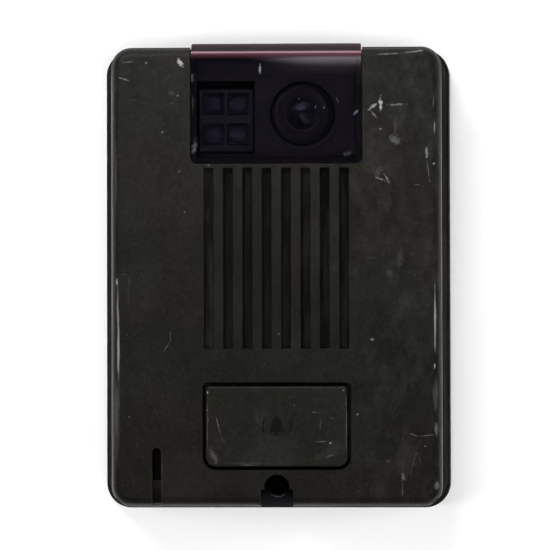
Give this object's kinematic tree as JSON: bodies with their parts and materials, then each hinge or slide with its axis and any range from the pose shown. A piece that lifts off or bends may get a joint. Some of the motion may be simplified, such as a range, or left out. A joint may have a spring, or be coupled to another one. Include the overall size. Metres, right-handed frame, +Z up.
{
  "type": "video door intercom station",
  "caption": "Wall-mounted door station with a tilting camera behind a smoked window, speaker grille, sprung call button and one-screw wall plate.",
  "frame": {"origin": "on the wall plane, half way between the two wall screws, which is the middle of the rear case's outline", "axes": "+Z up the wall, +Y into the wall, +X to the visitor's right; the face looks along -Y"},
  "size_m": [0.099, 0.0333, 0.1314],
  "materials": {
    "bracket_steel": "zinc plated",
    "case_plastic": "fine texture, worn",
    "cover_plastic": "fine texture, worn",
    "key_plastic": "smooth satin",
    "seal_rubber": "matte",
    "screw_steel": "passivated",
    "window_smoked": "glossy, smoked",
    "foam_tape": "matte",
    "bezel_plastic": "matte",
    "cloth": "woven",
    "basket_steel": "plated",
    "cone_paper": "pressed paper",
    "ferrite": "matte",
    "spring_steel": "bright",
    "inner_plastic": "matte",
    "circuit_board": "solder mask",
    "component_black": "matte",
    "plunger_plastic": "satin",
    "pod_plastic": "matte",
    "lens_metal": "black anodised",
    "lens_glass": "coated",
    "led_epoxy": "clear",
    "capacitor_sleeve": "shrink sleeve",
    "transformer_core": "taped",
    "header_nylon": "satin",
    "terminal_plastic": "satin",
    "plated_brass": "nickel plated",
    "lead_insulation": "satin",
    "flex_film": "satin",
    "capsule_metal": "satin"
  },
  "bodies": {
    "bracket": {"wall_bracket": "bracket_steel"},
    "station": {"rear_case": "case_plastic", "front_cover": "cover_plastic", "case_gasket": "seal_rubber", "case_screws": "screw_steel", "camera_window": "window_smoked", "window_tape": "foam_tape", "sensor_bezel": "bezel_plastic", "speaker_cloth": "cloth", "speaker_gasket": "foam_tape", "speaker_frame": "basket_steel", "speaker_cone": "cone_paper", "speaker_magnet": "ferrite", "speaker_yoke": "basket_steel", "speaker_screws": "screw_steel", "speaker_leads": "lead_insulation", "button_springs": "spring_steel", "button_seal": "seal_rubber", "switch_holder": "inner_plastic", "holder_screws": "screw_steel", "switch_board": "circuit_board", "switch_board_screws": "screw_steel", "switch_body": "component_black", "camera_chassis": "inner_plastic", "chassis_screws": "screw_steel", "camera_flex": "flex_film", "lamp_holder": "bezel_plastic", "lamp_leds": "led_epoxy", "lamp_board": "circuit_board", "lamp_board_screws": "screw_steel", "main_board": "circuit_board", "board_screws": "screw_steel", "board_chips": "component_black", "capacitors": "capacitor_sleeve", "line_transformer": "transformer_core", "board_connectors": "header_nylon", "terminal_block": "terminal_plastic", "terminal_plates": "plated_brass", "terminal_screws": "plated_brass", "mic_mesh": "cloth", "mic_boot": "seal_rubber", "mic_capsule": "capsule_metal", "mic_leads": "lead_insulation"},
    "call_button": {"button_cap": "key_plastic"},
    "plunger": {"switch_plunger": "plunger_plastic"},
    "pod": {"camera_pod": "pod_plastic", "lens_barrel": "lens_metal", "lens_ring": "lens_metal", "lens_front_glass": "lens_glass", "lens_rear_glass": "lens_glass", "camera_board": "circuit_board", "image_sensor": "component_black", "tilt_lever": "pod_plastic", "pod_screws": "screw_steel"},
    "fixing_screw": {"mounting_screw": "screw_steel", "screw_retainer": "spring_steel"}
  },
  "joints": [
    {"name": "station_swing", "type": "hinge", "parent": "bracket", "child": "station", "pos_m": [0, 0, 0.0655], "axis": [-1, 0, 0], "range_deg": [0, 8]},
    {"name": "button_press", "type": "slide", "parent": "station", "child": "call_button", "axis": [0, 1, 0], "range_m": [0, 0.001], "stiffness_N_per_m": 700, "springref_m": -0.0015, "deforming": ["button_springs"]},
    {"name": "plunger_press", "type": "slide", "parent": "station", "child": "plunger", "axis": [0, 1, 0], "range_m": [0, 0.001]},
    {"name": "camera_tilt", "type": "hinge", "parent": "station", "child": "pod", "pos_m": [0.0072, -0.0215, 0.0453], "axis": [1, 0, 0], "range_deg": [-10, 10], "deforming": ["camera_flex"]},
    {"name": "screw_turn", "type": "hinge", "parent": "station", "child": "fixing_screw", "pos_m": [0, -0.01, -0.0586], "axis": [0, 1, 0], "continuous": true}
  ],
  "couplings": [
    {"joint": "plunger_press", "follows": "button_press", "ratio": 1}
  ]
}
